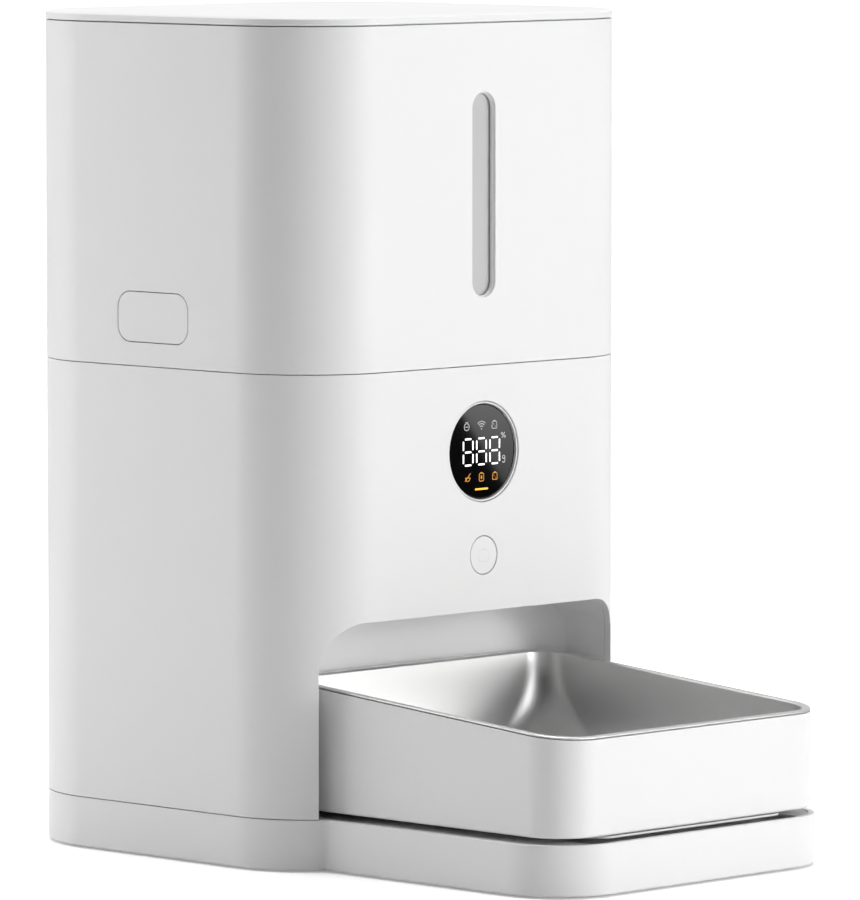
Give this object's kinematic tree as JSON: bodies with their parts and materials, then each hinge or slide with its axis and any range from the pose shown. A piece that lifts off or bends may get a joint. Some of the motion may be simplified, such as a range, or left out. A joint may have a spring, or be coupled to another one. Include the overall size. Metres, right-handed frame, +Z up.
{
  "type": "automatic pet feeder",
  "caption": "Tall rounded-corner dry food feeder with a lift-off hopper, a slim window, a round display and button, and a steel bowl in a front alcove on a weighing base.",
  "frame": {"origin": "on the ground, under the middle of the feeder's bounding box", "axes": "+Z up; the bowl and display face -Y; +X to the feeder's left hand seen from its back"},
  "size_m": [0.19, 0.285, 0.3222],
  "materials": {
    "white_casing": "satin moulded ABS, very fine grain",
    "inner_plastic": "plain moulded, food safe",
    "dark_plastic": "plain moulded",
    "window": "frosted translucent",
    "display_glass": "polished black",
    "bowl_steel": "satin brushed, bright rim",
    "rotor_plastic": "soft moulded",
    "gear_acetal": "smooth acetal",
    "steel": "machined or plated",
    "aluminium": "milled",
    "circuit_board": "solder mask",
    "rubber": "matte",
    "silicone": "soft",
    "brass": "turned"
  },
  "bodies": {
    "root": {"body_shell": "white_casing", "alcove_liner": "white_casing", "dock_deck": "inner_plastic", "food_chute": "inner_plastic", "base_pan": "white_casing", "apron_deck": "white_casing", "gearbox_base": "dark_plastic", "gearbox_cover": "dark_plastic", "motor_can": "steel", "idler_pin_a": "steel", "idler_pin_b": "steel", "output_bush": "brass", "gearbox_screw_1": "steel", "gearbox_screw_2": "steel", "main_board": "circuit_board", "display_board": "circuit_board", "display_lens": "display_glass", "display_bezel": "white_casing", "button_switch": "dark_plastic", "power_jack": "dark_plastic", "chute_sensor": "circuit_board", "load_cell": "aluminium", "weigh_platform": "white_casing", "load_cell_screw_fixed": "steel", "load_cell_screw_moving": "steel", "battery_box": "dark_plastic", "battery_contacts": "steel", "rubber_foot_1": "rubber", "rubber_foot_2": "rubber", "rubber_foot_3": "rubber", "rubber_foot_4": "rubber"},
    "hopper": {"hopper_shell": "white_casing", "hopper_bin": "inner_plastic", "window_lens": "window", "metering_drum": "inner_plastic", "outlet_baffle": "dark_plastic"},
    "lid": {"lid_cover": "white_casing", "lid_liner": "inner_plastic", "lid_gasket": "silicone", "desiccant_box": "inner_plastic"},
    "desiccant_cap": {"desiccant_cap": "inner_plastic"},
    "latch_left": {"latch_button_left": "white_casing", "latch_hook_left": "dark_plastic", "latch_spring_left": "steel"},
    "latch_right": {"latch_button_right": "white_casing", "latch_hook_right": "dark_plastic", "latch_spring_right": "steel"},
    "rotor": {"rotor_hub": "dark_plastic", "paddle_wheel": "rotor_plastic", "agitator_arm": "rotor_plastic"},
    "drive": {"output_gear": "gear_acetal", "drive_dog": "steel"},
    "idler_b": {"idler_b": "gear_acetal"},
    "idler_a": {"idler_a": "gear_acetal"},
    "motor_rotor": {"motor_pinion": "brass"},
    "feed_button": {"feed_button": "white_casing", "feed_button_spring": "steel"},
    "battery_door": {"battery_door": "white_casing"},
    "tray": {"bowl_tray": "white_casing"},
    "bowl": {"steel_bowl": "bowl_steel"}
  },
  "joints": [
    {"name": "hopper_lift", "type": "slide", "parent": "root", "child": "hopper", "axis": [0, 0, 1], "range_m": [0, 0.06]},
    {"name": "lid_lift", "type": "slide", "parent": "hopper", "child": "lid", "axis": [0, 0, 1], "range_m": [0, 0.05]},
    {"name": "desiccant_cap_twist", "type": "hinge", "parent": "lid", "child": "desiccant_cap", "pos_m": [0, 0.0575, 0.2975], "axis": [0, 0, 1], "range_deg": [0, 30]},
    {"name": "latch_left_press", "type": "slide", "parent": "hopper", "child": "latch_left", "axis": [1, 0, 0], "range_m": [0, 0.003], "stiffness_N_per_m": 600, "springref_m": -0.003, "deforming": ["latch_spring_left"]},
    {"name": "latch_right_press", "type": "slide", "parent": "hopper", "child": "latch_right", "axis": [-1, 0, 0], "range_m": [0, 0.003], "stiffness_N_per_m": 600, "springref_m": -0.003, "deforming": ["latch_spring_right"]},
    {"name": "rotor_spin", "type": "hinge", "parent": "hopper", "child": "rotor", "pos_m": [0, 0.0575, 0.152], "axis": [0, 0, 1], "continuous": true},
    {"name": "drive_spin", "type": "hinge", "parent": "root", "child": "drive", "pos_m": [0, 0.0575, 0.112], "axis": [0, 0, 1], "continuous": true},
    {"name": "idler_b_spin", "type": "hinge", "parent": "root", "child": "idler_b", "pos_m": [0.0124, 0.07898, 0.112], "axis": [0, 0, 1], "continuous": true},
    {"name": "idler_a_spin", "type": "hinge", "parent": "root", "child": "idler_a", "pos_m": [-0.007, 0.09018, 0.112], "axis": [0, 0, 1], "continuous": true},
    {"name": "motor_spin", "type": "hinge", "parent": "root", "child": "motor_rotor", "pos_m": [-0.02805, 0.08252, 0.112], "axis": [0, 0, 1], "continuous": true},
    {"name": "feed_button_press", "type": "slide", "parent": "root", "child": "feed_button", "axis": [0, 1, 0], "range_m": [0, 0.001], "stiffness_N_per_m": 400, "springref_m": -0.001, "deforming": ["feed_button_spring"]},
    {"name": "battery_door_swing", "type": "hinge", "parent": "root", "child": "battery_door", "pos_m": [0, 0.0721, 0.0018], "axis": [-1, 0, 0], "range_deg": [0, 100]},
    {"name": "tray_slide", "type": "slide", "parent": "root", "child": "tray", "axis": [0, -1, 0], "range_m": [0, 0.155]},
    {"name": "bowl_lift", "type": "slide", "parent": "tray", "child": "bowl", "axis": [0, 0, 1], "range_m": [0, 0.016]}
  ],
  "couplings": [
    {"joint": "drive_spin", "follows": "rotor_spin", "ratio": 1},
    {"joint": "idler_b_spin", "follows": "rotor_spin", "ratio": -3.4286},
    {"joint": "idler_a_spin", "follows": "rotor_spin", "ratio": 10.286},
    {"joint": "motor_spin", "follows": "rotor_spin", "ratio": -30.857}
  ]
}
